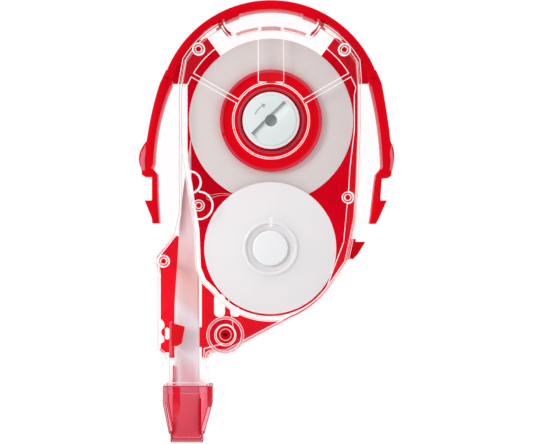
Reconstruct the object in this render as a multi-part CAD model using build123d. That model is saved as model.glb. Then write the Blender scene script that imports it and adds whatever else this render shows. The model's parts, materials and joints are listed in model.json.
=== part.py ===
from build123d import *
import math
import os

os.makedirs("parts", exist_ok=True)

# Correction tape cartridge, lying on its back. Millimetres. The origin is on the supply reel's axis at the
# back face; +Y points to the arch, -Y to the blade, +Z to the front.

# ---- driving dimensions -------------------------------------------------------------------------------
TAKEUP = (-0.15, -25.4)          # take-up reel axis
ROLLER = (-9.1, -42.7)           # guide roller axis
HEAD_X = -16.85                  # centre line of the neck, blade and cap

PLATE_T = 1.2                    # base plate
COVER_Z = 10.6                   # underside of the clear cover's plate
COVER_T = 1.0
COVER_TOP = COVER_Z + COVER_T
WALL_T = 0.6                     # clear cover's walls

ARCH_CENTRE = (0, 1.6)
ARCH_R = 22.4
ARCH_T = 1.5
ARCH_TOP = 10.6
ARCH_END_Y = 7.75                # where the arch stops and the snap arms begin

TAPE_W = 5.0
TAPE_T = 0.1
TAPE_Z = 5.7                     # middle of the tape's width while it is edge-on
ROLL_Z = (TAPE_Z - TAPE_W / 2, TAPE_Z + TAPE_W / 2)
SUPPLY_ROLL_R = 15.4
SUPPLY_CORE_R = 9.4
TAKEUP_ROLL_R = 9.6
TAKEUP_CORE_R = 9.2
SUPPLY_FLANGE_R = 16.4
TAKEUP_FLANGE_R = 13.15
CLUTCH_DISC_R = 10.2
KNOB_R = 5.65
COVER_RING_R = 7.75

POST_R = 2.6                     # reel posts on the base plate
SOCKET_R = 1.5                   # hollow back of each post, a locating socket
SOCKET_DEPTH = 6.0
FIT = 0.05                       # radial running clearance
SLEEVE_R = 4.2

GEAR_CENTRES = math.hypot(*TAKEUP)
SUPPLY_TEETH = 50
TAKEUP_TEETH = 30
GEAR_Z = (1.5, 2.7)
MODULE = 2 * GEAR_CENTRES / (SUPPLY_TEETH + TAKEUP_TEETH)
ADDENDUM = 0.42
DEDENDUM = 0.6
BACKLASH = 0.14
PRESSURE_ANGLE = 20

ROLLER_R = 1.54
ROLLER_FLANGE_R = 1.95
ROLLER_POST_R = 1.0

PIN_R = 0.5                      # pins that join base and cover
PINS = [(-14.4, 14.2), (14.6, 14.1), (15.3, -15.3), (-14.4, -16.9), (-21.4, -28.0)]


# ---- helpers ------------------------------------------------------------------------------------------
def outline(start, *moves):
    """A flat face. A move is the next point, or (middle, end) for an arc."""
    edges = []
    here = start
    for move in moves + (start,):
        if isinstance(move[0], tuple):
            edges.append(ThreePointArc(here, move[0], move[1]))
            here = move[1]
        elif move != here:
            edges.append(Line(here, move))
            here = move
    return make_face(edges)


def slab(face, low, high):
    return Pos(0, 0, low) * extrude(face, high - low)


def disc(r, low, high, at=(0, 0)):
    return Pos(at[0], at[1], low) * Cylinder(r, high - low, align=(Align.CENTER, Align.CENTER, Align.MIN))


def tube(r_out, r_in, low, high, at=(0, 0)):
    return disc(r_out, low, high, at) - disc(r_in, low - 1, high + 1, at)


def block(x, y, z):
    return Pos((x[0] + x[1]) / 2, (y[0] + y[1]) / 2, (z[0] + z[1]) / 2) * Box(x[1] - x[0], y[1] - y[0], z[1] - z[0])


def polar(r, degrees, centre=(0, 0)):
    angle = math.radians(degrees)
    return (centre[0] + r * math.cos(angle), centre[1] + r * math.sin(angle))


def side_profile(points, x):
    """A solid from (y, z) points, extruded along X between the two values in x."""
    face = Plane.YZ * make_face(Polyline(*points, close=True))
    return Pos(x[0], 0, 0) * extrude(face, x[1] - x[0])


def save(solid, name):
    solid.label = name
    export_step(solid, "parts/" + name + ".step")


# ---- outlines shared by the base and the cover --------------------------------------------------------
def reel_opening():
    """The loop round both reels that the clear cover leaves open."""
    return outline(
        (-17.1, 5.6),
        ((0, 18.0), (16.8, 6.5)),
        (16.5, 5.0), (16.5, -2.0), (15.6, -9.8), (15.4, -13.4), (14.4, -24.1),
        (polar(13.6, -35, TAKEUP)),
        (polar(13.6, -90, TAKEUP), polar(13.6, -144, TAKEUP)),
        (-13.0, -31.7), (-14.0, -29.2), (-14.3, -21.8), (-16.9, -5.8), (-17.1, 0),
    )


def cover_outline():
    top = outline(
        (-18.6, 6.6), (-18.6, -18.4), (-19.6, -22.6), (-23.1, -27.0), (-23.2, -28.7), (-22.9, -30.6),
        (-22.9, -46.0), (-21.1, -47.6), (-21.1, -52.8), (-12.4, -52.8), (-12.4, -46.7),
        (-8.9, -46.5), (4.0, -39.6),
        ((8.2, -37.2), (11.75, -33.6)),
        (13.4, -31.3), (15.4, -28.3), (17.2, -19.7), (17.7, -12.5), (18.1, -1.8), (18.1, 7.2),
        (17.7, 12.7), (15.6, 15.6), (15.0, 19.0), (9.6, 21.0), (9.6, 19.6),
        ((9.15, 18.6), (7.9, 17.45)),
        ((0, 19.15), (-7.9, 17.45)),
        ((-9.15, 18.6), (-9.6, 19.6)),
        (-9.6, 21.0), (-15.0, 19.0), (-17.4, 13.4),
    )
    inside_arch = Pos(*ARCH_CENTRE) * Circle(ARCH_R - ARCH_T - 0.3)
    return top & inside_arch + Pos(0, -40) * Rectangle(60, 90)


# ---- base plate ---------------------------------------------------------------------------------------
def base_faces():
    upper = Pos(*ARCH_CENTRE) * Circle(ARCH_R) & Pos(0, ARCH_END_Y + 20) * Rectangle(60, 40)
    main = outline(
        (-16.9, 8.0), (-16.9, -5.5), (-14.6, -22.0), (-14.3, -29.3), (-14.0, -33.0), (-14.0, -47.7),
        (-12.5, -47.7), (-12.5, -46.7), (-8.9, -46.4), (3.9, -39.5),
        ((8.1, -37.1), (11.6, -33.5)),
        (13.2, -31.2), (15.2, -28.3), (17.0, -19.7), (17.4, -12.5), (17.6, -1.8), (17.6, 8.0),
    )
    neck_plate = outline(
        (-19.4, -22.9), (-23.0, -27.2), (-23.1, -28.7), (-22.4, -31.0), (-22.4, -39.8),
        ((-21.8, -40.3), (-21.6, -41.6)),
        ((-22.2, -42.5), (-21.6, -43.4)),
        (-21.6, -44.4), (-22.4, -44.9), (-22.4, -45.6),
        ((-22.1, -46.5), (-21.2, -46.6)),
        (-20.6, -46.6), (-20.6, -47.7), (-18.9, -47.7), (-18.9, -45.0), (-19.5, -40.2),
        (-19.1, -33.8), (-18.6, -28.8), (-18.3, -23.2),
    )
    bridge = Pos(-16.7, -43.5) * Rectangle(6.0, 4.0)
    fin_root = outline((15.0, -23.6), (17.2, -23.6), (16.4, -27.6), (15.0, -28.0))
    return upper + main + neck_plate + bridge + fin_root


def top_window():
    """The annular gap over the supply reel between two radial cuts."""
    left = [(-12.9, 17.1), (-14.7, 16.5), (-14.9, 26.0)]
    right = [(-x, y) for x, y in reversed(left)]
    wedge = outline((0, -0.55), *left, *right)
    ring = Pos(*ARCH_CENTRE) * Circle(ARCH_R - ARCH_T) - Circle(14.0)
    return wedge & ring


def small_openings():
    left = Pos(-10.4, -37.1) * RectangleRounded(2.2, 4.6, 0.9)
    right = Pos(-7.2, -38.4) * RectangleRounded(1.8, 1.9, 0.6)
    oval = Pos(-21.0, -42.8) * SlotOverall(2.4, 0.9, rotation=90)
    return [left, right, oval]


def arch_wall():
    band = Pos(*ARCH_CENTRE) * (Circle(ARCH_R) - Circle(ARCH_R - ARCH_T))
    thick = Pos(*ARCH_CENTRE) * (Circle(ARCH_R) - Circle(20.3))
    thick = thick & Pos(0, 20) * Rectangle(18.4, 20)
    notch = Pos(*ARCH_CENTRE) * Circle(20.6) & Pos(0, 20) * Rectangle(12.8, 20)
    face = (band + thick) - notch
    return slab(face & Pos(0, ARCH_END_Y + 20) * Rectangle(60, 40), 0, ARCH_TOP)


def reel_post(at, top):
    return tube(POST_R, SOCKET_R, 0, SOCKET_DEPTH, at) + disc(POST_R, SOCKET_DEPTH, top, at)


def tape_guide_hook():
    """Stands beside the tape and reaches over its edge, in front of it."""
    stem = block((-19.9, -19.4), (-44.8, -40.6), (PLATE_T, 9.2))
    tooth = slab(outline((-19.9, -40.3), (-17.2, -41.1), (-17.8, -44.4), (-18.8, -45.0), (-19.9, -45.0)), 8.5, 9.2)
    return stem + tooth


def hook_fin():
    return slab(outline((16.9, -24.2), (19.0, -24.2), (17.5, -26.7), (16.4, -27.8), (16.0, -27.2)), 0, 4.0)


def base_plate():
    plate = slab(base_faces(), 0, PLATE_T)
    for face in [top_window()] + small_openings():
        plate -= slab(face, -1, PLATE_T + 1)
    body = plate + arch_wall() + hook_fin() + tape_guide_hook()
    for hinge in HINGES:
        body -= disc(KNUCKLE_R + FIT, -1, ARCH_TOP + 1, hinge)
    for post, top in [((0, 0), 9.8), (TAKEUP, 9.6)]:
        body -= disc(SOCKET_R, -1, PLATE_T + 1, post)
        body += reel_post(post, top)
    body -= disc(1.2, 7.0, 10.0, TAKEUP)
    for pin in PINS:
        body += disc(PIN_R, PLATE_T, 10.4, pin)
    roller_post = disc(ROLLER_POST_R, PLATE_T, 9.4, ROLLER) - disc(0.4, 8.2, 10, ROLLER)
    return body + roller_post


# ---- snap arms ----------------------------------------------------------------------------------------
KNUCKLE_R = 0.95
HINGES = [(-20.75, 7.75), (20.6, 7.75)]
ARM_Z = (0.3, 10.1)


def left_latch_arm():
    arm = outline(
        (-21.75, 7.1),
        ((-23.55, 2.3), (-24.75, -4.0)),
        ((-26.3, -6.9), (-25.8, -9.7)),
        (-25.8, -10.7), (-25.1, -11.2), (-23.75, -11.2), (-23.75, -15.9), (-25.2, -15.9),
        (-23.75, -19.5), (-23.7, -20.5), (-22.3, -20.5), (-22.6, -15.9), (-22.7, -10.7),
        (-23.7, -9.5), (-23.3, -8.6),
        ((-22.3, -0.4), (-19.7, 7.1)),
    )
    return slab(arm, *ARM_Z) + disc(KNUCKLE_R, *ARM_Z, HINGES[0])


def right_latch_arm():
    arm = outline(
        (21.6, 7.1),
        ((23.2, 0.6), (23.8, -4.0)),
        ((24.6, -6.8), (24.1, -9.6)),
        (24.0, -10.9), (23.5, -11.4), (22.1, -11.5), (21.8, -15.9), (23.1, -15.9),
        (21.5, -19.5), (20.9, -20.6), (19.7, -20.6), (20.0, -18.8), (20.7, -12.5),
        (21.0, -10.7), (21.8, -9.7), (22.1, -9.2),
        ((21.4, -0.9), (19.6, 7.1)),
    )
    return slab(arm, *ARM_Z) + disc(KNUCKLE_R, *ARM_Z, HINGES[1])


# ---- clear cover --------------------------------------------------------------------------------------
def arm_strip(degrees, width):
    """A flat bridge from the hub ring out to the rim, along the given direction."""
    inner = COVER_RING_R - 0.2
    outer = 18.4
    return Rot(0, 0, degrees) * Pos((inner + outer) / 2, 0) * Rectangle(outer - inner, width)


def arc_rib(centre, r, start, sweep):
    line = CenterArc(centre, r, start, sweep)
    return slab(trace(line, 0.35), 8.6, COVER_TOP)


def clear_cover():
    skin = cover_outline()
    opening = reel_opening()
    front = skin - opening
    front += Circle(COVER_RING_R) - Circle(COVER_RING_R - 0.45)
    front += arm_strip(90, 5.2) + arm_strip(30, 1.0) + arm_strip(150, 1.0)
    front -= Circle(COVER_RING_R - 0.45)
    body = slab(front, COVER_Z, COVER_TOP)
    body += slab(skin - offset(skin, -WALL_T), PLATE_T, COVER_Z)
    rib_zone = Pos(-6, -23) * Rectangle(30, 36)
    body += slab((offset(opening, 0.9) - opening) & rib_zone & skin, 8.6, COVER_Z)
    neck_floor = Pos(-16.75, -50.3) * Rectangle(8.7, 5.0)
    body += slab(neck_floor, PLATE_T, PLATE_T + 0.8)
    spigot = block((-20.5, -12.6), (-54.4, -52.6), (1.5, 11.1)) - block((-19.9, -13.2), (-55, -52), (2.1, 10.5))
    body += spigot
    body -= block((-19.9, -13.2), (-53.5, -52.0), (2.1, 10.5))
    body += arc_rib((-16.2, -12.3), 2.2, -90, 180)
    body += arc_rib(PINS[3], 2.75, -100, 190)
    for pin in PINS:
        body += disc(1.15, 7.0, COVER_TOP + 0.2, pin)
        body -= disc(PIN_R + FIT, 6.0, COVER_TOP + 1, pin)
    body += tube(3.6, 3.3, COVER_TOP - 0.2, COVER_TOP + 0.2, ROLLER)
    body -= disc(ROLLER_FLANGE_R + 0.1, COVER_Z - 1, COVER_TOP + 1, ROLLER)
    return body


# ---- gears --------------------------------------------------------------------------------------------
def spur_gear(teeth, first_tooth):
    """Gear face with straight-flanked teeth; first_tooth is the direction of one tooth, in degrees."""
    pitch_r = MODULE * teeth / 2
    slope = math.tan(math.radians(PRESSURE_ANGLE))
    half_pitch = (math.pi * MODULE / 2 - BACKLASH) / 2
    points = []
    for tooth in range(teeth):
        middle = first_tooth + tooth * 360 / teeth
        for height in (-DEDENDUM, ADDENDUM):
            half = math.degrees((half_pitch - slope * height) / (pitch_r + height))
            points.append((middle - half, middle + half, pitch_r + height))
    corners = []
    for root, tip in zip(points[0::2], points[1::2]):
        corners += [polar(root[2], root[0]), polar(tip[2], tip[0]), polar(tip[2], tip[1]), polar(root[2], root[1])]
    return make_face(Polyline(*corners, close=True))


CENTRE_LINE = math.degrees(math.atan2(TAKEUP[1], TAKEUP[0]))


def supply_gear():
    gear = slab(spur_gear(SUPPLY_TEETH, CENTRE_LINE), *GEAR_Z)
    return gear + disc(SLEEVE_R, GEAR_Z[0], 9.9) - disc(POST_R + FIT, 0, 12)


def takeup_gear():
    first = CENTRE_LINE + 180 + 180 / TAKEUP_TEETH
    gear = Pos(*TAKEUP) * slab(spur_gear(TAKEUP_TEETH, first), *GEAR_Z)
    return gear + disc(3.4, GEAR_Z[0], 9.4, TAKEUP) - disc(POST_R + FIT, 0, 12, TAKEUP)


# ---- supply reel --------------------------------------------------------------------------------------
def reel_core(outer_r, bore_r, low, high, at):
    web = (low + high) / 2
    core = tube(outer_r, outer_r - 1.0, low, high, at) + tube(bore_r + 1.0, bore_r, low, high, at)
    return core + tube(outer_r, bore_r, web - 0.5, web + 0.5, at)


def supply_core():
    return reel_core(SUPPLY_CORE_R, SLEEVE_R + FIT, 3.0, 8.5, (0, 0))


def clutch_felt():
    return tube(SUPPLY_CORE_R - 0.1, SLEEVE_R + 0.6, GEAR_Z[1], 2.95)


def supply_front_flange():
    return tube(SUPPLY_FLANGE_R, SLEEVE_R + 0.2, 8.5, 9.1)


def supply_tape_roll():
    return tube(SUPPLY_ROLL_R, SUPPLY_CORE_R, *ROLL_Z)


def clutch_disc():
    plate = tube(CLUTCH_DISC_R, SLEEVE_R, 9.15, 9.9)
    rim = tube(CLUTCH_DISC_R, CLUTCH_DISC_R - 0.7, 9.9, 10.2)
    hub = tube(6.6, 6.1, 9.9, 10.3)
    return plate + rim + hub


def clutch_spring():
    """A three-lobed wave washer, drawn flat at its working height."""
    ring = tube(5.3, 4.4, 9.9, 10.2)
    for degrees in (0, 120, 240):
        ring += disc(0.4, 10.2, 10.5, polar(4.85, degrees))
    return ring


def knob():
    """A stepped cap with a wedge slot: one steep wall, and a floor that slopes up to the face."""
    cap = disc(KNOB_R, 10.5, 11.9)
    cap = chamfer(cap.edges().group_by(Axis.Z)[-1], 0.3)
    face = disc(KNOB_R - 0.7, 11.9, 12.2)
    stem = disc(SLEEVE_R, 9.9, 10.5)
    wedge = side_profile([(-1.05, 12.1), (-1.05, 12.4), (1.0, 12.4), (1.0, 11.2)], (-4.6, 4.6))
    return cap + face + stem - Rot(0, 0, 45) * wedge - disc(1.2, 10.9, 13)


# ---- take-up reel -------------------------------------------------------------------------------------
def takeup_core():
    core = reel_core(TAKEUP_CORE_R, 3.4, 2.75, 8.3, TAKEUP)
    return core + tube(TAKEUP_CORE_R, 7.0, 7.6, 8.3, TAKEUP) + tube(8.0, 7.0, 8.3, 9.4, TAKEUP)


def takeup_film_roll():
    return tube(TAKEUP_ROLL_R, TAKEUP_CORE_R, *ROLL_Z, TAKEUP)


def takeup_front_flange():
    flange = tube(TAKEUP_FLANGE_R, 2.8, 9.4, 10.0, TAKEUP)
    ring = tube(5.35, 4.95, 10.0, 10.45, TAKEUP)
    slit = Pos(TAKEUP[0], TAKEUP[1] + 5.25, 10.0) * Box(0.5, 1.5, 1.0)
    return flange + ring - slit


def takeup_cap():
    cap = disc(3.5, 10.1, 10.8, TAKEUP)
    cap = chamfer(cap.edges().group_by(Axis.Z)[-1], 0.3)
    return cap + disc(1.15, 7.2, 10.1, TAKEUP)


# ---- guide roller and backstop ------------------------------------------------------------------------
def guide_roller():
    barrel = disc(ROLLER_R, 2.0, 9.1, ROLLER)
    flanges = disc(ROLLER_FLANGE_R, 2.0, 2.6, ROLLER) + disc(ROLLER_FLANGE_R, 8.6, 9.1, ROLLER)
    return barrel + flanges - disc(ROLLER_POST_R + FIT, 0, 12, ROLLER)


PAWL_PIVOT = (-12.4, -15.2)


def backstop_pawl():
    leaf = outline((-12.4, -15.5), ((-9.9, -14.85), (-7.6, -14.95)), (-7.6, -14.7), ((-9.9, -14.4), (-12.4, -14.9)))
    return slab(leaf, *GEAR_Z) + disc(0.6, *GEAR_Z, PAWL_PIVOT)


# ---- blade, cap and the tape's path -------------------------------------------------------------------
BLADE_Z = 5.9
BLADE_TIP_Y = -62.9
WRAP_R = 0.5                     # outside of the tape where it turns round the blade's tip
BLADE_HALF = 2.6
RAIL_T = 0.25


def tape_head():
    blade = side_profile(
        [(-54.5, 6.4), (-62.0, 6.25), (-62.9, 6.15), (-63.15, BLADE_Z), (-62.9, 5.65), (-62.0, 5.55), (-54.5, 5.4)],
        (HEAD_X - BLADE_HALF, HEAD_X + BLADE_HALF),
    )
    nose = [(-55.6, 7.2), (-61.9, 7.0), (-62.9, BLADE_Z), (-61.9, 4.8), (-55.6, 4.5)]
    shank = [(-49.0, 2.0), (-49.0, 7.4)] + nose + [(-52.4, 4.4), (-52.4, 2.0)]
    left = HEAD_X - BLADE_HALF
    right = HEAD_X + BLADE_HALF
    return blade + side_profile(shank, (left - RAIL_T, left)) + side_profile(nose, (right, right + RAIL_T))


def head_cap():
    front = outline(
        (-21.5, -52.8), (-21.5, -56.4), (-20.4, -62.5), (-20.1, -62.5), (-20.1, -64.3), (-13.6, -64.3),
        (-13.6, -62.5), (-13.3, -62.5), (-11.7, -56.4), (-11.7, -52.8),
    )
    hollow = outline(
        (-20.8, -52.0), (-20.8, -56.3), (-19.8, -61.6), (-19.8, -63.85), (-13.9, -63.85),
        (-13.9, -61.6), (-12.3, -56.3), (-12.3, -52.0),
    )
    outer = side_profile([(-52.8, 0.4), (-56.4, 0.6), (-64.3, 3.9), (-64.3, 7.9), (-56.4, 12.0), (-52.8, 12.2)], (-30, 0))
    inner = side_profile([(-52.0, 1.0), (-56.2, 1.2), (-63.85, 4.4), (-63.85, 7.4), (-56.2, 11.4), (-52.0, 11.6)], (-30, 0))
    return (slab(front, 0, 13) & outer) - (slab(hollow, 0, 13) & inner)


def ribbon(stations):
    """A strip through stations (centre, direction of travel, direction of its width)."""
    sections = [
        Plane(origin=centre, x_dir=width, z_dir=travel) * Rectangle(TAPE_W, TAPE_T)
        for centre, travel, width in stations
    ]
    return loft([section.face() for section in sections], ruled=True)


def turned(degrees):
    """Width direction of a strip that runs along Y: 0 is edge-on, 90 is face-on."""
    angle = math.radians(degrees)
    return (math.sin(angle), 0, math.cos(angle))


def tape_feed_run():
    """From the full roll down the channel, turning face-on, along the blade and round its tip."""
    down = (0, -1, 0)
    path = [(-15.75, 0.0, 0), (-16.2, -5.0, 0), (-16.7, -13.0, 19), (-16.7, -22.0, 43), (-16.65, -30.0, 60),
            (HEAD_X, -36.0, 77), (HEAD_X, -42.0, 90)]
    stations = [((x, y, TAPE_Z + 0.8 * turn / 90), down, turned(turn)) for x, y, turn in path]
    stations += [((HEAD_X, y, z), down, (1, 0, 0)) for y, z in ((-54.5, 6.55), (BLADE_TIP_Y, 6.35))]
    strip = ribbon(stations)
    half_ring = (Circle(WRAP_R) - Circle(WRAP_R - TAPE_T)) & Pos(-WRAP_R, 0) * Rectangle(2 * WRAP_R, 3 * WRAP_R)
    wrap = extrude(Plane.YZ * Pos(BLADE_TIP_Y, BLADE_Z) * half_ring, TAPE_W)
    return strip + Pos(HEAD_X - TAPE_W / 2, 0, 0) * wrap


def roller_tangent(start):
    """Where a line from start meets the guide roller's lower right side."""
    reach = ROLLER_R + 0.2
    across = (ROLLER[0] - start[0], ROLLER[1] - start[1])
    distance = math.hypot(*across)
    heading = math.degrees(math.atan2(across[1], across[0]) - math.asin(reach / distance))
    return heading, polar(reach, heading - 90, ROLLER)


FILM_EDGE_X = -13.45             # the film's right edge while it turns edge-on in the neck


def film_return_run():
    """From the blade's tip back up, turning edge-on, round the guide roller and on to the take-up roll."""
    corner = (FILM_EDGE_X, -45.6)
    twist_start, twist_end = -54.6, corner[1] - 1.0
    stations = [((HEAD_X, y, z), (0, 1, 0), (1, 0, 0)) for y, z in ((BLADE_TIP_Y, 5.45), (-56.2, 5.25))]
    steps = 6
    for step in range(steps + 1):
        share = step / steps
        turn = 90 - 90 * share
        x = FILM_EDGE_X - TAPE_W / 2 * math.sin(math.radians(turn))
        y = twist_start + (twist_end - twist_start) * share
        stations.append(((x, y, 5.2 + (TAPE_Z - 5.2) * share), (0, 1, 0), turned(turn)))
    twisted = ribbon(stations)
    heading, touch = roller_tangent(corner)
    reach = ROLLER_R + 0.2
    far = TAKEUP_ROLL_R + 0.35
    across = (TAKEUP[0] - ROLLER[0], TAKEUP[1] - ROLLER[1])
    leave = math.degrees(math.atan2(across[1], across[0]) + math.asin((reach + far) / math.hypot(*across)))
    off_roller = polar(reach, leave - 90, ROLLER)
    on_roll = polar(far, leave + 90, TAKEUP)
    middle = polar(reach, (heading + leave) / 2 - 90, ROLLER)
    start = (corner[0], corner[1] - 1.0)
    line = Polyline(start, corner, touch) + ThreePointArc(touch, middle, off_roller) + Line(off_roller, on_roll)
    return twisted + slab(trace(line, TAPE_T), *ROLL_Z)


# ---- write every piece --------------------------------------------------------------------------------
PIECES = [
    base_plate, left_latch_arm, right_latch_arm, clear_cover,
    supply_gear, clutch_felt, supply_core, supply_tape_roll, supply_front_flange, clutch_disc, clutch_spring, knob,
    takeup_gear, takeup_core, takeup_film_roll, takeup_front_flange, takeup_cap,
    guide_roller, backstop_pawl, tape_head, head_cap, tape_feed_run, film_return_run,
]
for piece in PIECES:
    save(piece(), piece.__name__)
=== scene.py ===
# %% [markdown]
# # A correction tape cartridge
#
# A pull-down correction tape refill is a small gearbox with two reels. A full roll of white tape sits on the
# big reel. The tape runs down a channel, turns flat, passes round a blade, and comes back as bare film to
# the small reel.
#
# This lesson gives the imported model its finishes, and rebuilds the pieces whose edges and curves
# a plain solid can't show. Lengths are in metres, as everywhere in Blender.

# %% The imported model
import json
import math

import bmesh
import bpy
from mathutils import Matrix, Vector


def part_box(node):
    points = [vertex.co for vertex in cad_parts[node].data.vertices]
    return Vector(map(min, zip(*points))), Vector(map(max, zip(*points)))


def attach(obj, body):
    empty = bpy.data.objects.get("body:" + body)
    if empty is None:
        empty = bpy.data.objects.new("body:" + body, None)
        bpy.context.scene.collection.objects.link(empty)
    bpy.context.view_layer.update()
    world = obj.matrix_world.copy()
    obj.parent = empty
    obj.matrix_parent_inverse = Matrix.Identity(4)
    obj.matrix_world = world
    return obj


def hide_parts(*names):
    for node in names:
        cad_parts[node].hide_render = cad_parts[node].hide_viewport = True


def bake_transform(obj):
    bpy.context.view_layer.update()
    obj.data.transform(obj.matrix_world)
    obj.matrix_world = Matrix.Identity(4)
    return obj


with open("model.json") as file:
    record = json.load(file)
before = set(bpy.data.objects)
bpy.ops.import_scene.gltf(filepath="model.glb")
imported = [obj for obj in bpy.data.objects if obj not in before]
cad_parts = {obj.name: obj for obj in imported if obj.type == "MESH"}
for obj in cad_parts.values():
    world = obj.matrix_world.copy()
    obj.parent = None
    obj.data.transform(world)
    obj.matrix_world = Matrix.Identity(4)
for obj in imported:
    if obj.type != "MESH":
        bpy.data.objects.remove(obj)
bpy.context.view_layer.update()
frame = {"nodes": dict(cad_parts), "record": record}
nodes = frame["nodes"]
print("pieces in the packed model:", len(nodes))

# %% [markdown]
# ## Where things are
#
# The supply reel's axis is the origin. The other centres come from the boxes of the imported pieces, so the
# looks follow the design if it changes. `MM` turns the millimetres of a drawing into metres.

# %% Measures of the cartridge
MM = 0.001


def middle(node):
    low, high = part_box(node)
    return (low + high) / 2


TAKEUP_AXIS = middle("takeup_cap")
ROLLER_AXIS = middle("guide_roller")
FEED_LOW, FEED_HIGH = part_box("tape_feed_run")
TAPE_WIDTH = 5 * MM
HEAD_X = (FEED_LOW.x * 2 + TAPE_WIDTH) / 2
TAPE_MID_Z = (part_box("supply_tape_roll")[0].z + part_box("supply_tape_roll")[1].z) / 2
print("take-up axis", TAKEUP_AXIS[:2], "tape centre line", HEAD_X, TAPE_MID_Z)

# %% [markdown]
# ## Shader maths as plain expressions
#
# A finish is a small graph. Writing `ring * 0.3 + haze` is easier to read than five boxes and ten links, so
# `Wire` wraps one output and gives it the signs of arithmetic; each sign adds its Math node. `Finish` owns a
# material, and its `node` method adds any other node: the kind, its settings, then its sockets.

# %% Wire and Finish
class Wire:
    """One output of a node, which can be used in sums and products."""

    def __init__(self, finish, socket):
        self.finish = finish
        self.socket = socket

    def maths(self, operation, *values, clamp=False):
        settings = {"operation": operation, "use_clamp": clamp}
        return self.finish.node("Math", settings, dict(enumerate(values)))

    def __add__(self, other):
        return self.maths("ADD", self, other)

    def __sub__(self, other):
        return self.maths("SUBTRACT", self, other)

    def __rsub__(self, other):
        return self.maths("SUBTRACT", other, self)

    def __mul__(self, other):
        return self.maths("MULTIPLY", self, other)

    def __truediv__(self, other):
        return self.maths("DIVIDE", self, other)

    def __pow__(self, power):
        return self.maths("POWER", self, power)

    def __gt__(self, other):
        return self.maths("GREATER_THAN", self, other)

    __radd__ = __add__
    __rmul__ = __mul__

    def held(self):
        """The same value, kept between 0 and 1."""
        return self.maths("MULTIPLY", self, 1.0, clamp=True)

    def size(self):
        """The same value without its sign."""
        return self.maths("ABSOLUTE", self)


class Finish:
    """A material whose shader is set from plain values and wires."""

    def __init__(self, name, **sockets):
        self.material = bpy.data.materials.new(name)
        self.material.use_nodes = True
        self.tree = self.material.node_tree
        self.tree.nodes.clear()
        self.end = self.tree.nodes.new("ShaderNodeOutputMaterial")
        self.shader = self.tree.nodes.new("ShaderNodeBsdfPrincipled")
        self.show(self.shader.outputs[0])
        self.dress(**sockets)

    def show(self, shader):
        self.tree.links.new(shader, self.end.inputs["Surface"])

    def plug(self, socket, value):
        if isinstance(value, Wire):
            self.tree.links.new(value.socket, socket)
        elif isinstance(value, (tuple, list)) and socket.type == "RGBA":
            socket.default_value = (*value[:3], 1.0)
        else:
            socket.default_value = value

    def dress(self, **sockets):
        for name, value in sockets.items():
            self.plug(self.shader.inputs[name.replace("_", " ")], value)

    def node(self, kind, settings=None, sockets=None, out=0):
        made = self.tree.nodes.new("ShaderNode" + kind)
        for name, value in (settings or {}).items():
            if name == "stops":
                ramp = made.color_ramp
                while len(ramp.elements) < len(value):
                    ramp.elements.new(1.0)
                for element, (place, colour) in zip(ramp.elements, value):
                    element.position = place
                    element.color = (*colour, 1.0)
            else:
                setattr(made, name, value)
        for key, value in (sockets or {}).items():
            self.plug(made.inputs[key], value)
        return Wire(self, made.outputs[out])

    def place(self):
        return self.node("TexCoord", out="Object")

    def noise(self, scale, detail=2.0, stretch=(1.0, 1.0, 1.0)):
        mapped = self.node("Mapping", {}, {"Vector": self.place(), "Scale": stretch})
        return self.node("TexNoise", {}, {"Vector": mapped, "Scale": scale, "Detail": detail})

    def from_point(self, centre=(0, 0, 0)):
        """How far a point of the surface is from the centre along X, Y and Z, in metres."""
        moved = self.node("VectorMath", {"operation": "SUBTRACT"}, {0: self.place(), 1: tuple(centre)})
        split = self.node("SeparateXYZ", {}, {"Vector": moved}).socket.node
        return [Wire(self, output) for output in split.outputs]

    def radius(self, centre=(0, 0, 0)):
        """Distance from an axis that points along Z, in metres."""
        x, y, _ = self.from_point(centre)
        return (x * x + y * y) ** 0.5

    def tint(self, factor, low, high):
        """A colour that goes from low to high as factor goes from 0 to 1."""
        sockets = {"Factor": factor, 6: low, 7: high}
        return self.node("Mix", {"data_type": "RGBA"}, sockets, out=2)

    def relief(self, height, depth):
        return self.node("Bump", {}, {"Height": height, "Distance": depth, "Strength": 1.0})


print("shader helpers ready")

# %% [markdown]
# ## Red moulded plastic
#
# The base, its arch and the snap arms are glossy red polystyrene. Cheap moulded red is not even: pigment
# streams leave slightly darker and lighter clouds, and the tool leaves a very fine orange-peel skin. The
# gloss is kept low, because the red has to stay deep where a white studio is reflected in it. The base's
# thin plate gets a painted glow: a little red emission stands in for the white table's light coming
# through it, and lifts the plate where it lies in shade.

# %% Red plastic
RED = (0.84, 0.0008, 0.008)
DEEP_RED = (0.64, 0.0006, 0.010)
PAINTED_PLATE_GLOW = (0.58, 0.0, 0.018)


def red_plastic(name, light, dark, gloss=0.08):
    made = Finish(name, IOR=1.5, Specular_IOR_Level=gloss)
    clouds = made.noise(70.0, 3.0, (1.0, 0.6, 1.0))
    skin = made.noise(2600.0, 2.0)
    made.dress(
        Base_Color=made.tint((clouds * 2.2 - 0.55).held(), dark, light),
        Roughness=0.24 + clouds * 0.16,
        Normal=made.relief(skin, 0.000006),
    )
    return made


def base_red():
    made = red_plastic("red_base", RED, DEEP_RED)
    height = made.from_point()[2]
    in_plate = (1.4 - height / MM).held()
    # Painted glow: red emission on the plate, below 1.4 mm, lifts its shade.
    made.dress(Emission_Color=made.tint(in_plate * 2.0, (0, 0, 0), PAINTED_PLATE_GLOW), Emission_Strength=1.0)
    return made


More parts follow.
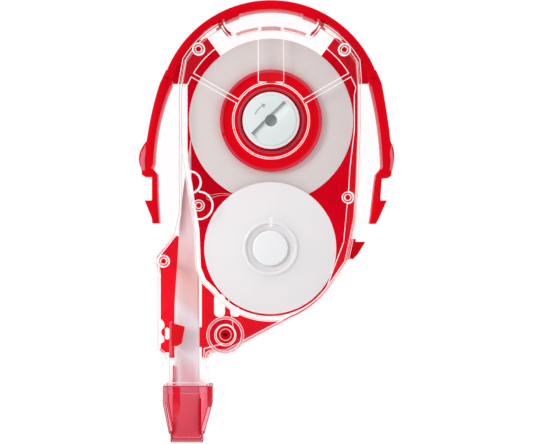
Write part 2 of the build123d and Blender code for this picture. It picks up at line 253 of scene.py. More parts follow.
RED_BASE = base_red().material
RED_PLASTIC = red_plastic("red_moulding", RED, DEEP_RED).material
RED_DISC = red_plastic("red_disc", (0.86, 0.0008, 0.010), RED).material
# Pink trim for the finger pads and the guide step, and a painted highlight on the arms' inner edges.
PINK_TRIM_AND_HIGHLIGHT = red_plastic("pink_trim_and_highlight", (0.86, 0.20, 0.24), (0.72, 0.08, 0.11), 0.4).material
PAINTED_SHEEN_RED = red_plastic("red_hub_painted_sheen", (0.72, 0.07, 0.12), (0.55, 0.01, 0.04), 0.7).material
print("red finishes:", RED_BASE.name, RED_PLASTIC.name, RED_DISC.name, PINK_TRIM_AND_HIGHLIGHT.name, PAINTED_SHEEN_RED.name)

# %% [markdown]
# ## Clear cover
#
# Clear styrene is nearly invisible where it is flat and faces you, and turns white where it is seen edge-on
# or where an edge gathers the light. Real refraction needs many bounces and turns dark in thin mouldings, so
# the faces are a mix of see-through and gloss by Layer Weight, and the small rounded edges get a whiter
# finish of their own, with a faint glow: a painted highlight.

# %% Clear plastic and its bright edges
CLEAR_TINT = (1.0, 1.0, 1.0)


def see_through(name, colours, floor, rise, tint=CLEAR_TINT, roughness=0.08, gloss=0.5, glow=0.0, shade_mask=None):
    """Plastic whose share of solid colour grows from floor, seen straight on, by rise at a grazing angle.

    colours are the solid colour seen straight on, and at a grazing angle. glow is light led in from
    elsewhere. The last argument says where a nearly solid colour is painted on as shade.
    """
    made = Finish(name, IOR=1.5, Specular_IOR_Level=gloss, Emission_Color=colours[0], Emission_Strength=glow)
    facing = made.node("LayerWeight", {}, {"Blend": 0.5}, out="Facing")
    ripple = made.noise(260.0, 2.0)
    made.dress(Base_Color=made.tint(facing.held(), *colours))
    made.dress(Roughness=roughness + ripple * 0.08, Normal=made.relief(ripple, 0.00001))
    share = facing ** 3.0 * rise + floor + ripple * floor * 0.5
    if shade_mask:
        share = share + shade_mask(made)
    glass = made.node("BsdfTransparent", {}, {"Color": tint})
    mixed = made.node("MixShader", {}, {0: share.held(), 1: glass, 2: Wire(made, made.shader.outputs[0])})
    made.show(mixed.socket)
    return made.material


WHITES = ((0.93, 0.93, 0.93), (0.93, 0.93, 0.93))
EDGE_WHITES = ((0.96, 0.95, 0.95), (0.62, 0.58, 0.60))
# The pink and red clear finishes paint in the red seen through the clear plastic, with a glow: painted
# light.
PINK_WHITES = ((0.80, 0.28, 0.28), (0.62, 0.10, 0.12))
HOOK_REDS = ((0.45, 0.002, 0.02), (0.35, 0.002, 0.015))
CLEAR = see_through("clear_face", WHITES, 0.003, 0.12)
CLEAR_EDGE = see_through("clear_edge", EDGE_WHITES, 0.86, 0.1, roughness=0.2, glow=0.22)
CLEAR_PINK = see_through("clear_edge_near_red", PINK_WHITES, 0.5, 0.2, roughness=0.2, glow=0.1)
CLEAR_DARK = see_through("clear_edge_over_red", HOOK_REDS, 0.85, 0.1, roughness=0.4, gloss=0.05, glow=0.6)
CLEAR_CRIMSON = see_through("clear_face_over_red", HOOK_REDS, 0.3, 0.1, glow=0.4)
print("clear finishes:", CLEAR.name, CLEAR_EDGE.name, CLEAR_PINK.name, CLEAR_DARK.name, CLEAR_CRIMSON.name)

# %% [markdown]
# ## Translucent red of the blade and its cap
#
# White tape seen through the cap turns salmon, and two layers of the cap turn it deep red. A tinted
# see-through shader does both by itself: each surface multiplies what is behind it, and the light that
# reaches the tape has crossed the same wall on its way in.

# %% Translucent red
CAP_TINT = (0.99, 0.64, 0.70)
CAP_REDS = ((0.80, 0.01, 0.03), (0.60, 0.005, 0.02))
# The cap's rounded edges get these darker reds: painted shade.
CAP_EDGE_REDS = ((0.50, 0.003, 0.02), (0.30, 0.002, 0.012))
BLADE_REDS = ((0.85, 0.05, 0.09), (0.70, 0.02, 0.05))


def cap_painted_shade(made):
    """Painted shade on the cap's front wall: a deeper red that narrows down its left, and its right corner.
    """
    x, y, z = made.from_point((HEAD_X, 0, 0))
    # Painted shade: a deeper red wedge down the left of the front wall, and the right corner.
    right_edge = -1.15 * MM - (-57.3 * MM - y).held() * 0.38
    between = ((right_edge - x) * 4000.0).held() * ((x + 2.6 * MM) * 9000.0).held()
    corner = (x > 4.2 * MM) * (y > -57 * MM)
    return (between + corner) * (z > 8.5 * MM) * 0.92


TRANSLUCENT_RED = see_through("translucent_red", CAP_REDS, 0.05, 0.5, CAP_TINT, 0.12, 0.35, shade_mask=cap_painted_shade)
TRANSLUCENT_EDGE = see_through("translucent_red_edge", CAP_EDGE_REDS, 0.8, 0.2, CAP_TINT, 0.2, 0.3)
BLADE_RED = see_through("blade_red", BLADE_REDS, 0.3, 0.3, (0.97, 0.40, 0.46), 0.2, 0.3)
print("translucent finishes ready")

# %% [markdown]
# ## Milky reels and white parts
#
# The reel flanges are unpigmented polypropylene: milky and satin, with faint rings left by the lathe
# that cut the mould. Towards the hub they are a little darker: painted shade.

# %% Milky and white plastic
def milky(name, centre, thin, shaded_colour, shade_radius, fade):
    made = Finish(name, IOR=1.49, Specular_IOR_Level=0.3, Subsurface_Weight=0.0)
    r = made.radius(centre)
    rings = made.node("Math", {"operation": "SINE"}, {0: r * (2 * math.pi / (0.55 * MM))})
    clouds = made.noise(120.0, 3.0)
    # Painted shade: the flange gets darker towards its hub.
    depth = ((shade_radius - r) / fade + clouds * 0.25).held()
    made.dress(
        Base_Color=made.tint(depth, thin, shaded_colour),
        Roughness=0.34 + clouds * 0.14,
        Normal=made.relief(rings * 0.4 + clouds, 0.000004),
    )
    return made.material


MILKY_SUPPLY = milky("milky_supply", (0, 0, 0), (0.76, 0.70, 0.68), (0.70, 0.64, 0.62), 12 * MM, 5 * MM)
MILKY_TAKEUP = milky("milky_takeup", TAKEUP_AXIS, (0.89, 0.86, 0.86), (0.82, 0.79, 0.80), 7 * MM, 6 * MM)


def white_plastic(name, light, shade):
    made = Finish(name, IOR=1.5, Specular_IOR_Level=0.35)
    clouds = made.noise(180.0, 3.0)
    made.dress(
        Base_Color=made.tint(clouds, shade, light),
        Roughness=0.30 + clouds * 0.15,
        Normal=made.relief(made.noise(2200.0), 0.000005),
    )
    return made.material


# The knob is white: the greys of its slot wall, groove and centre hole are painted shade.
SLOT_SHADE = white_plastic("knob_slot_painted_shade", (0.30, 0.33, 0.32), (0.24, 0.27, 0.26))
GROOVE_SHADE = white_plastic("knob_groove_painted_shade", (0.52, 0.55, 0.54), (0.44, 0.48, 0.47))
WHITE_PLASTIC = white_plastic("white_plastic", (0.82, 0.88, 0.86), (0.76, 0.83, 0.81))
# As the rounded-edge finish of the take-up flange and the knob, this white is a painted highlight.
BRIGHT_WHITE_AND_HIGHLIGHT = white_plastic("bright_white_and_edge_highlight", (0.93, 0.93, 0.93), (0.88, 0.89, 0.90))
print("reel finishes ready")

# %% [markdown]
# ## Tape, film, felt and spring
#
# Tape on the roll shows its turns only from the side, as very fine lines round the axis. The felt ring and
# the spring are hidden behind the discs, but they get a finish too, because a part may be looked at alone.

# %% Tape and inner finishes
def wound(name, colour, line, pitch, centre):
    """A roll's flat side: fine rings, one for every few turns."""
    made = Finish(name, IOR=1.45, Specular_IOR_Level=0.2)
    r = made.radius(centre)
    turns = made.node("Math", {"operation": "SINE"}, {0: r * (2 * math.pi / pitch)})
    made.dress(
        Base_Color=made.tint((turns * 0.5 + 0.5).held(), line, colour),
        Roughness=0.5 + turns * 0.05,
        Normal=made.relief(turns, 0.00001),
    )
    return made.material


TAPE_ROLL = wound("tape_roll", (0.88, 0.86, 0.85), (0.74, 0.71, 0.70), 0.30 * MM, (0, 0, 0))
FILM_ROLL = wound("film_roll", (0.80, 0.78, 0.77), (0.60, 0.58, 0.58), 0.22 * MM, TAKEUP_AXIS)


def felt():
    made = Finish("pressed_felt", Roughness=0.95, Specular_IOR_Level=0.1)
    fibres = made.noise(3000.0, 6.0, (1.0, 3.0, 1.0))
    made.dress(Base_Color=made.tint(fibres, (0.05, 0.05, 0.055), (0.16, 0.16, 0.17)))
    made.dress(Normal=made.relief(fibres, 0.00004))
    return made.material


def spring_steel():
    made = Finish("spring_steel", Metallic=1.0, Base_Color=(0.62, 0.61, 0.60))
    drawn = made.noise(900.0, 2.0, (1.0, 12.0, 1.0))
    made.dress(Roughness=0.22 + drawn * 0.2, Normal=made.relief(drawn, 0.000006))
    return made.material


FELT = felt()
SPRING = spring_steel()
print("inner finishes ready")


# %% [markdown]
# ## Rounded edges for moulded parts
#
# No moulded edge is sharp. `moulded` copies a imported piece, joins the small triangles of its flat faces,
# rounds every corner by a tenth or two of a millimetre, and puts the copy in the piece's place. The flat
# faces of a plate with many holes are split again, because such a face folds over itself when its corners
# move. The rounded strip can have a finish of its own, which is what makes a clear part read as clear.

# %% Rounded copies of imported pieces
def new_object(name, mesh, finishes):
    mesh.materials.clear()
    for finish in finishes:
        mesh.materials.append(finish)
    for polygon in mesh.polygons:
        polygon.material_index = 0
    piece = bpy.data.objects.new(name, mesh)
    bpy.context.scene.collection.objects.link(piece)
    return piece


SHARPEST_LEFT = 38
CREASE = 32
MANY_CORNERS = 40


def rounded(piece, rounding):
    """Round every sharp edge for good. The rounded faces take the piece's second finish."""
    bevel = piece.modifiers.new("rounding", "BEVEL")
    bevel.width = rounding
    bevel.segments = 2
    bevel.limit_method = "ANGLE"
    bevel.angle_limit = math.radians(SHARPEST_LEFT)
    bevel.material = 1
    bevel.use_clamp_overlap = False
    shape = piece.evaluated_get(bpy.context.evaluated_depsgraph_get())
    piece.data = bpy.data.meshes.new_from_object(shape)
    piece.modifiers.clear()
    piece.data.shade_smooth()
    piece.data.set_sharp_from_angle(angle=math.radians(CREASE))


SLOTS = {part["node"]: part["material_slot"] for part in frame["record"]["subparts"]}
HOMES = {node: body for body, group in frame["record"]["behaviour"]["bodies"].items() for node in group}


def in_place(piece, node):
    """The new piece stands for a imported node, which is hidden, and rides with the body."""
    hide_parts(node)
    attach(piece, HOMES[node])


def moulded(node, face, edge=None, rounding=0.12 * MM, faces=(), holed=False):
    """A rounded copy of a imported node.

    faces holds (finish, rule) for faces that look different. holed is for plates with many holes.
    """
    mesh = nodes[node].data.copy()
    work = bmesh.new()
    work.from_mesh(mesh)
    bmesh.ops.remove_doubles(work, verts=work.verts, dist=0.002 * MM)
    bmesh.ops.dissolve_limit(work, angle_limit=math.radians(1.5), verts=work.verts, edges=work.edges)
    if holed:
        bmesh.ops.triangulate(work, faces=[flat for flat in work.faces if len(flat.verts) > MANY_CORNERS])
    work.to_mesh(mesh)
    work.free()
    piece = new_object(node + "_moulded", mesh, [face, edge or face] + [finish for finish, _ in faces])
    rounded(piece, rounding)
    for index, (_, rule) in enumerate(faces, start=2):
        for polygon in piece.data.polygons:
            if rule(polygon.center / MM, polygon.normal):
                polygon.material_index = index
    in_place(piece, node)
    print(node, "faces", len(piece.data.polygons))


# %% [markdown]
# ## The moulded pieces
#
# The cover's rims, ribs and pin sockets stand up from its plate, so light leaves through their ends: those
# faces get the bright edge finish too. The clutch disc's hub ring gets a glossy pink finish: a painted
# sheen.

# %% Base, cover, reels and head
HOOK_ENDS = [Vector((9.3, 18.7)), Vector((-9.3, 18.7))]
HOOK_REACH = 1.7
ROLLER_CENTRE = ROLLER_AXIS.xy / MM
TAKEUP_CENTRE = TAKEUP_AXIS.xy / MM
COVER_FRONT = 11.5
FACING_UP = 0.95
UPRIGHT = 0.3


def rib_end(at, normal):
    return normal.z < -0.9 and 8.5 < at.z < 8.7


def hook_edge(at, normal):
    return min((at.xy - end).length for end in HOOK_ENDS) < HOOK_REACH and abs(normal.z) < 0.97


def roller_ring(at, normal):
    return 3.1 < (at.xy - ROLLER_CENTRE).length < 3.8 and at.z > COVER_FRONT + 0.15


def roller_boss(at, normal):
    on_boss = 2.15 < (at.xy - ROLLER_CENTRE).length < 3.2
    return on_boss and at.z > COVER_FRONT and normal.z > FACING_UP


def steep_wall(at, normal):
    """The slot's upright wall and the floor of the hole in its middle."""
    return at.xy.length < 4.9 and (abs(normal.z) < UPRIGHT or at.z < 11.1) and at.z > 10.7


def groove_or_hole(at, normal):
    in_groove = 4.7 < at.xy.length < 5.05 and abs(normal.z) < 0.9 and at.z > 11.8
    return in_groove or (at.xy.length < 1.25 and 10.7 < at.z < 11.1)


def slit(at, normal):
    """The key slot above the middle of the take-up reel's disc."""
    from_axis = at.xy - TAKEUP_CENTRE
    return abs(from_axis.x) < 0.45 and 4.4 < from_axis.y < 6.2 and at.z < 10.3


def rail(at, normal):
    """The blade's right edge, past the tape."""
    return at.x - HEAD_X / MM > TAPE_WIDTH / MM / 2


def hub(at, normal):
    return at.z > 9.95 and at.xy.length < 6.75


moulded("base_plate", RED_BASE, rounding=0.1 * MM, holed=True)
# Painted light on the cover: bright rib ends, dark red hook edges, and a pink ring and crimson boss round
# the roller.
cover_faces = [
    (CLEAR_EDGE, rib_end), (CLEAR_DARK, hook_edge), (CLEAR_PINK, roller_ring), (CLEAR_CRIMSON, roller_boss),
]
moulded("clear_cover", CLEAR, CLEAR_EDGE, 0.13 * MM, cover_faces, holed=True)
# The hub's pinker colour is a painted sheen on its ring.
moulded("clutch_disc", RED_DISC, rounding=0.12 * MM, faces=[(PAINTED_SHEEN_RED, hub)])
moulded("supply_front_flange", MILKY_SUPPLY, rounding=0.1 * MM)
# The flange's whiter rounded rim and its glowing slit are painted highlights.
moulded("takeup_front_flange", MILKY_TAKEUP, BRIGHT_WHITE_AND_HIGHLIGHT, rounding=0.1 * MM, faces=[(CLEAR_EDGE, slit)])
moulded("takeup_cap", BRIGHT_WHITE_AND_HIGHLIGHT, rounding=0.15 * MM)
# Painted shade in the slot, the groove and the centre hole.
knob_faces = [(SLOT_SHADE, steep_wall), (GROOVE_SHADE, groove_or_hole)]
# The knob's whiter rounded rim is a painted highlight.
moulded("knob", WHITE_PLASTIC, BRIGHT_WHITE_AND_HIGHLIGHT, rounding=0.1 * MM, faces=knob_faces)
# The white rounded edges of the roller and the pawl are a painted highlight.
moulded("guide_roller", RED_DISC, CLEAR_EDGE, rounding=0.16 * MM)
moulded("head_cap", TRANSLUCENT_RED, TRANSLUCENT_EDGE, rounding=0.14 * MM)
# Painted shade: the blade's right edge, past the tape, is dark red.
moulded("tape_head", BLADE_RED, rounding=0.06 * MM, faces=[(CLEAR_DARK, rail)])
moulded("backstop_pawl", RED_DISC, CLEAR_EDGE, rounding=0.08 * MM)
moulded("supply_gear", RED_PLASTIC, rounding=0.06 * MM)
moulded("takeup_gear", BRIGHT_WHITE_AND_HIGHLIGHT, rounding=0.06 * MM)

# %% [markdown]
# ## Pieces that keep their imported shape
#
# The cores, rolls, felt and spring sit inside, so their plain shape is right. Only their finish changes.

# %% Finishes on carried-over pieces
KEPT = {
    "supply_core": MILKY_SUPPLY,
    "takeup_core": MILKY_TAKEUP,
    "supply_tape_roll": TAPE_ROLL,
    "takeup_film_roll": FILM_ROLL,
    "clutch_felt": FELT,
    "clutch_spring": SPRING,
}
for node, finish in KEPT.items():
    nodes[node].data.materials.clear()
    nodes[node].data.materials.append(finish)
print("kept as packed:", ", ".join(KEPT))

# %% [markdown]
# ## Snap arms
#
# On the real part an arm and the arch are one moulding, and the arm bends over its whole root. The rounded
# inner edge of each arm gets a pinker, glossier finish: a painted highlight.

# %% Drawing flat shapes
def through(a, middle, b, steps=8):
    """Points on the smooth curve from a to b that passes through middle half way, without a itself."""
    control = [2 * middle[i] - (a[i] + b[i]) / 2 for i in (0, 1)]
    points = []
    for step in range(1, steps + 1):
        t = step / steps
        points.append([(1 - t) ** 2 * a[i] + 2 * t * (1 - t) * control[i] + t * t * b[i] for i in (0, 1)])
    return points


def outline(start, *moves):
    """Corners of a flat shape in millimetres. A move is a point, or (middle, end) for a curve."""
    points = [start]
    for move in moves:
        points += through(points[-1], *move) if isinstance(move[0], tuple) else [move]
    return points


def slab(name, points, low, high, finishes, rounding):
    """A rounded block with the given outline between two heights, all in millimetres."""
    work = bmesh.new()
    base = work.faces.new([work.verts.new((x * MM, y * MM, low * MM)) for x, y in points])
    grown = bmesh.ops.extrude_face_region(work, geom=[base])
    top = [item for item in grown["geom"] if isinstance(item, bmesh.types.BMVert)]
    bmesh.ops.translate(work, verts=top, vec=(0, 0, (high - low) * MM))
    bmesh.ops.recalc_face_normals(work, faces=work.faces)
    mesh = bpy.data.meshes.new(name)
    work.to_mesh(mesh)
    work.free()
    piece = new_object(name, mesh, finishes)
    rounded(piece, rounding * MM)
    return piece


print("one curve:", through((0, 0), (1, 1), (2, 0), 2))

# %% Snap arms
LEFT_ARM = outline(
    (-20.9, 10.2), (-22.2, 7.4),
    ((-23.7, 2.0), (-24.8, -4.0)),
    ((-26.3, -6.9), (-25.8, -9.7)),
    (-25.8, -10.7), (-25.1, -11.2), (-23.75, -11.2), (-23.75, -15.9), (-25.2, -15.9),
    (-23.75, -19.5), (-23.7, -20.5), (-22.3, -20.5), (-22.6, -15.9), (-22.7, -10.7),
    (-23.7, -9.5), (-23.3, -8.6),
    ((-22.3, -0.4), (-19.95, 6.9)), (-19.2, 9.6),
)
RIGHT_ARM = outline(
    (20.9, 10.2), (22.1, 7.4),
    ((23.25, 0.6), (23.8, -4.0)),
    ((24.6, -6.8), (24.1, -9.6)),
    (24.0, -10.9), (23.5, -11.4), (22.1, -11.5), (21.8, -15.9), (23.1, -15.9),
    (21.5, -19.5), (20.9, -20.6), (19.7, -20.6), (20.0, -18.8), (20.7, -12.5),
    (21.0, -10.7), (21.8, -9.7), (22.1, -9.2),
    ((21.4, -0.9), (19.85, 6.9)), (19.2, 9.6),
)


# Down the arm, in millimetres: where it starts to bend, where it bends no more, and where its painted
# highlight ends.
BEND_START = Vector((0, 6.5, 5))
HIGHLIGHT_END_Y = -9.5


def snap_arm(node, points, inward):
    low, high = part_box(node)
    name = node + "_moulded"
    arm = slab(name, points, low.z / MM, high.z / MM, [RED_PLASTIC, RED_PLASTIC, PINK_TRIM_AND_HIGHLIGHT], 0.18)
    for polygon in arm.data.polygons:
        # Painted highlight: the rounded faces of the inner edge take the pink finish.
        on_inner_edge = polygon.normal.x * inward > 0.3 and polygon.normal.z > 0.2
        if on_inner_edge and HIGHLIGHT_END_Y < polygon.center.y / MM < BEND_START.y:
            polygon.material_index = 2
    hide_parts(node)
    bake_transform(arm)


snap_arm("left_latch_arm", LEFT_ARM, 1)
snap_arm("right_latch_arm", RIGHT_ARM, -1)


# %% [markdown]
# ## The tape and the film
#
# A tape that turns from edge-on to face-on is a ruled strip: at each station its width points a little
# further round. The two runs are built station by station, with enough stations that the twist is smooth.

# %% Tape and film strips
def smooth_step(t):
    t = min(max(t, 0.0), 1.0)
    return t * t * (3 - 2 * t)


def along(rows, y):
    """Values at y from rows of (y, value, ...), which go down in y, joined by straight lines."""
    for upper, lower in zip(rows, rows[1:]):
        if y >= lower[0]:
            share = (upper[0] - y) / (upper[0] - lower[0])
            return [a + (b - a) * share for a, b in zip(upper[1:], lower[1:])]
    return list(rows[-1][1:])


def strip(name, node, stations, finish, thickness=0.08 * MM, lanes=10):
    """A thin strip from stations (centre, unit width direction), given body by a Solidify modifier."""
    work = bmesh.new()
    rows = []
    for centre, width in stations:
        offsets = [(lane / lanes - 0.5) * TAPE_WIDTH for lane in range(lanes + 1)]
        rows.append([work.verts.new(centre + width * offset) for offset in offsets])
    for row, after in zip(rows, rows[1:]):
        for lane in range(lanes):
            work.faces.new((row[lane], row[lane + 1], after[lane + 1], after[lane]))
    mesh = bpy.data.meshes.new(name)
    work.to_mesh(mesh)
    work.free()
    mesh.materials.append(finish)
    piece = bpy.data.objects.new(name, mesh)
    bpy.context.scene.collection.objects.link(piece)
    body = piece.modifiers.new("thickness", "SOLIDIFY")
    body.thickness = thickness
    body.offset = 0
    mesh.shade_smooth()
    in_place(piece, node)
    print(name, "stations", len(stations))


def turned(degrees):
    angle = math.radians(degrees)
    return Vector((math.sin(angle), 0, math.cos(angle)))


TAPE_PAINTED_REDS = [
    (0.00, (0.78, 0.66, 0.67)), (0.20, (0.76, 0.60, 0.62)), (0.36, (0.80, 0.62, 0.64)),
    (0.50, (0.84, 0.46, 0.44)), (0.58, (0.88, 0.60, 0.60)), (0.62, (0.93, 0.88, 0.91)),
    (0.74, (0.92, 0.86, 0.90)), (0.80, (0.90, 0.58, 0.62)), (0.90, (0.92, 0.60, 0.64)),
    (1.00, (0.92, 0.66, 0.68)),
]


# Down the tape, in millimetres: where the neck begins, where it ends in the cap, and the last colour.
NECK_TOP = -46.5
NECK_END = -53
TAPE_END = -64


def tape_white():
    """White tape with a painted red reflection of the walls beside it, changing down its length."""
    made = Finish("tape_white", IOR=1.45, Specular_IOR_Level=0.25)
    x, y, _ = made.from_point((HEAD_X, 0, 0))
    grain = made.noise(500.0, 3.0, (6.0, 1.0, 1.0))
    down = y / (TAPE_END * MM) - x * 12.0 + grain * 0.02
    colour = made.node("ValToRGB", {"stops": TAPE_PAINTED_REDS}, {"Fac": down})
    # In the neck the tape's sides are painted paler than its reddened middle.
    side = (((x - 0.3 * MM).size() / MM - 1.1) * 1.2).held()
    in_neck = ((NECK_TOP * MM - y) / MM).held() * (y > NECK_END * MM)
    made.dress(
        Base_Color=made.tint(side * in_neck, colour, (0.94, 0.89, 0.88)),
        Roughness=0.42 + grain * 0.1,
        Normal=made.relief(grain, 0.000004),
    )
    return made.material


TAPE_WHITE = tape_white()
# The release film's glow is painted light.
FILM_MILKY = see_through("release_film", WHITES, 0.92, 0.05, roughness=0.3, glow=0.35)
BLADE_TIP = Vector((HEAD_X, FEED_LOW.y + 0.5 * MM, 5.9 * MM))
WRAP_R = 0.45 * MM
FACE_ON_Y = -42 * MM
FLAT_RISE = 0.8 * MM
HEAD_Z = 6.55 * MM
TIP_DIP = 0.2 * MM
DIP_START_Y = -54 * MM
DIP_RUN = -9 * MM
# Down the feed: y and x of the tape's middle in millimetres, and how far it has turned flat in degrees.
FEED_TURNS = [
    (0.0, -15.75, 0), (-5.0, -16.2, 4), (-9.0, -16.5, 11), (-13.0, -16.7, 20),
    (-17.5, -16.75, 31), (-22.0, -16.75, 43), (-26.0, -16.7, 52), (-30.0, -16.7, 62),
    (-36.0, -16.85, 79), (-39.0, -16.85, 86), (-42.0, -16.85, 90),
]


def feed_stations():
    stations = []
    for step in range(61):
        y = FACE_ON_Y * step / 60
        x, turn = along(FEED_TURNS, y / MM)
        stations.append((Vector((x * MM, y, TAPE_MID_Z + FLAT_RISE * turn / 90)), turned(turn)))
    for step in range(1, 13):
        y = FACE_ON_Y + (BLADE_TIP.y - FACE_ON_Y) * step / 12
        z = HEAD_Z - TIP_DIP * smooth_step((y - DIP_START_Y) / DIP_RUN)
        stations.append((Vector((HEAD_X, y, z)), turned(90)))
    for step in range(1, 11):
        angle = math.radians(90 + 180 * step / 10)
        offset = Vector((0, WRAP_R * math.cos(angle), WRAP_R * math.sin(angle)))
        stations.append((BLADE_TIP + offset, turned(90)))
    return stations


strip("tape_feed", "tape_feed_run", feed_stations(), TAPE_WHITE)

# %% [markdown]
# ## The film's way back
#
# Behind the blade the empty film turns edge-on while it slides to the right, so that it clears the tape in
# front of it. It then bends round the guide roller's lower side and leaves for the take-up roll.

# %% Film strip
FILM_EDGE_X = -13.45
FILM_START_Y = -56.2
FILM_TURN_LENGTH = 9.6
FILM_Z = 5.25 * MM
FILM_CORNER = Vector((FILM_EDGE_X, -45.6)) * MM
ROLLER_REACH = 1.74 * MM
TAKEUP_REACH = 9.95 * MM


def on_circle(centre, radius, angle):
    return Vector((centre.x + radius * math.cos(angle), centre.y + radius * math.sin(angle), TAPE_MID_Z))


def film_stations():
    edge_on = turned(0)
    stations = [(Vector((HEAD_X, BLADE_TIP.y, BLADE_TIP.z - WRAP_R)), turned(90))]
    for step in range(13):
        y = (FILM_START_Y + FILM_TURN_LENGTH * step / 12) * MM
        turn = 90 - 90 * smooth_step((step - 2) / 10)
        x = FILM_EDGE_X * MM - TAPE_WIDTH / 2 * math.sin(math.radians(turn))
        z = FILM_Z + (TAPE_MID_Z - FILM_Z) * step / 12
        stations.append((Vector((x, y, z)), turned(turn)))
    stations.append((Vector((FILM_CORNER.x, FILM_CORNER.y, TAPE_MID_Z)), edge_on))
    to_roller = ROLLER_AXIS.xy - FILM_CORNER
    arrive = math.atan2(to_roller.y, to_roller.x) - math.asin(ROLLER_REACH / to_roller.length)
    to_reel = TAKEUP_AXIS.xy - ROLLER_AXIS.xy
    bend = math.asin((ROLLER_REACH + TAKEUP_REACH) / to_reel.length)
    leave = math.atan2(to_reel.y, to_reel.x) + bend
    for step in range(13):
        angle = arrive + (leave - arrive) * step / 12 - math.pi / 2
        stations.append((on_circle(ROLLER_AXIS, ROLLER_REACH, angle), edge_on))
    stations.append((on_circle(TAKEUP_AXIS, TAKEUP_REACH, leave + math.pi / 2), edge_on))
    return stations


strip("film_return", "film_return_run", film_stations(), FILM_MILKY)

# %% [markdown]
# ## Small details
#
# Three ribs stiffen the cover's rim over the reel; they mirror the red arch, so they look pink. A low step
# on the base guides the tape. The knob has a small raised arrow that shows which way to tighten the tape;
# its grey is painted shade. Each snap arm has a paler finger pad on its bulge. All outlines are in
# millimetres.

# %% Ribs, step, arrow and finger pads
def ring_part(inner, outer, start, stop, steps=10):
    """Outline of a piece of a flat ring round the supply axis, between two directions in degrees."""
    angles = [math.radians(start + (stop - start) * step / steps) for step in range(steps + 1)]
    rim = [(outer * math.cos(angle), outer * math.sin(angle)) for angle in angles]
    return rim + [(inner * math.cos(angle), inner * math.sin(angle)) for angle in reversed(angles)]


def detail(name, points, heights, finish, rounding, body, slot):
    piece = slab(name, points, *heights, [finish, finish], rounding)
    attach(piece, body)
    print("detail", name)


RIM_RIBS = [(98, 112), (84, 96), (68, 82)]
for number, (start, stop) in enumerate(RIM_RIBS, start=1):
    rib = ring_part(18.0, 18.75, start, stop)
    detail(f"rim_rib_{number}", rib, (10.2, 10.7), CLEAR_PINK, 0.08, "root", "clear_plastic")

GUIDE_STEP = [(-20.5, -40.4), (-19.95, -40.2), (-19.95, -47.6), (-20.6, -47.6)]
detail("guide_step", GUIDE_STEP, (1.1, 1.35), PINK_TRIM_AND_HIGHLIGHT, 0.05, "root", "red_plastic")

# The arrow's grey is painted shade.
ARROW_SHADE = white_plastic("arrow_painted_shade", (0.42, 0.46, 0.46), (0.34, 0.38, 0.38))
ARROW_HEIGHTS = (12.1, 12.24)
ARROW_SHAFT = ring_part(3.25, 3.47, 122, 160)
HEAD_CORNERS = [(2.8, 121), (3.9, 121), (3.36, 109)]
ARROW_HEAD = [(r * math.cos(math.radians(a)), r * math.sin(math.radians(a))) for r, a in HEAD_CORNERS]
detail("knob_arrow_shaft", ARROW_SHAFT, ARROW_HEIGHTS, ARROW_SHADE, 0.03, "drive_gear", "white_plastic")
detail("knob_arrow_head", ARROW_HEAD, ARROW_HEIGHTS, ARROW_SHADE, 0.03, "drive_gear", "white_plastic")

FINGER_PADS = {
    "left": [
        (-25.0, -4.8), (-25.85, -6.4), (-26.1, -8.0), (-25.85, -9.9),
        (-25.1, -9.9), (-25.2, -8.0), (-25.0, -6.4),
    ],
    "right": [
        (23.95, -4.8), (24.3, -6.4), (24.5, -8.0), (24.2, -9.9),
        (23.65, -9.9), (23.85, -8.0), (23.7, -6.4),
    ],
}
for side, points in FINGER_PADS.items():
    arm = side + "_latch_arm"
    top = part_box(arm)[1].z / MM
    detail(side + "_finger_pad", points, (top - 0.3, top + 0.12), PINK_TRIM_AND_HIGHLIGHT, 0.08, HOMES[arm], SLOTS[arm])

# %% [markdown]
# ## The floor, the light and the camera
#
# A product cut-out has a white ground, light from all round, and one broad soft light from the left that
# gives the raised red disc its small shadow. The camera looks straight down through a long lens.

# %% Floor, light and camera
scene = bpy.context.scene
scene.view_settings.view_transform = "Standard"

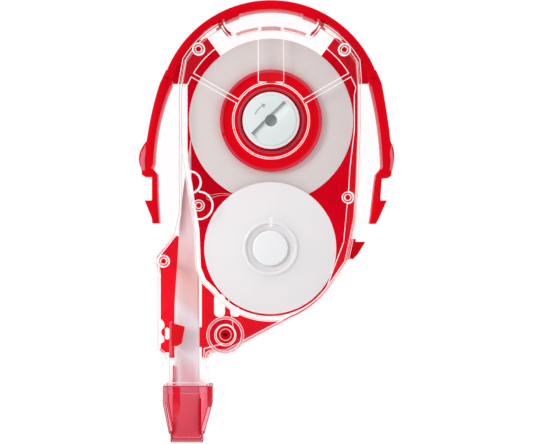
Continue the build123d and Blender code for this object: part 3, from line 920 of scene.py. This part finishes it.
floor_mesh = bpy.data.meshes.new("floor")
work = bmesh.new()
bmesh.ops.create_grid(work, x_segments=1, y_segments=1, size=1.5)
work.to_mesh(floor_mesh)
work.free()
floor = bpy.data.objects.new("floor", floor_mesh)
FLOOR_GAP = 0.02 * MM
floor.location.z = -FLOOR_GAP
scene.collection.objects.link(floor)
ground = Finish("pale_ground", Base_Color=(0.10, 0.10, 0.10), Roughness=0.9, Specular_IOR_Level=0.0)
ground.dress(Emission_Color=(1.0, 1.0, 1.0), Emission_Strength=0.96)
floor.data.materials.append(ground.material)

# The studio is bright at the sides and dark overhead, where the camera hangs: flat faces then mirror the
# dark part and keep their full colour, while every rounded edge mirrors the bright part.
world = bpy.data.worlds.new("studio")
world.use_nodes = True
sky = world.node_tree
direction = sky.nodes.new("ShaderNodeTexCoord")
height = sky.nodes.new("ShaderNodeSeparateXYZ")
falloff = sky.nodes.new("ShaderNodeValToRGB")
falloff.color_ramp.elements[0].position = 0.70
falloff.color_ramp.elements[0].color = (1.18, 1.18, 1.20, 1.0)
falloff.color_ramp.elements[1].position = 0.90
falloff.color_ramp.elements[1].color = (0.10, 0.10, 0.10, 1.0)
sky.links.new(direction.outputs["Generated"], height.inputs[0])
sky.links.new(height.outputs["Z"], falloff.inputs["Fac"])
sky.links.new(falloff.outputs["Color"], sky.nodes["Background"].inputs["Color"])
scene.world = world


def soft_light(name, place, size, power):
    data = bpy.data.lights.new(name, "AREA")
    data.shape = "DISK"
    data.size = size
    data.energy = power
    lamp = bpy.data.objects.new(name, data)
    lamp.location = place
    lamp.rotation_euler = (-Vector(place)).to_track_quat("-Z", "Y").to_euler()
    scene.collection.objects.link(lamp)


KEY_PLACE = (-0.42, 0.14, 0.36)
KEY_SIZE = 0.16
KEY_WATTS = 0.9
soft_light("key", KEY_PLACE, KEY_SIZE, KEY_WATTS)

VIEW_CENTRE = Vector((-0.9, -20.2, 8.0)) * MM
VIEW_WIDTH = 106.6 * MM
LENS = 200.0
camera_data = bpy.data.cameras.new("camera")
camera_data.lens = LENS
camera_data.sensor_width = 36.0
camera = bpy.data.objects.new("camera", camera_data)
camera.location = VIEW_CENTRE + Vector((0, 0, VIEW_WIDTH * LENS / camera_data.sensor_width))
scene.collection.objects.link(camera)
scene.camera = camera
print("camera height", round(camera.location.z, 3))
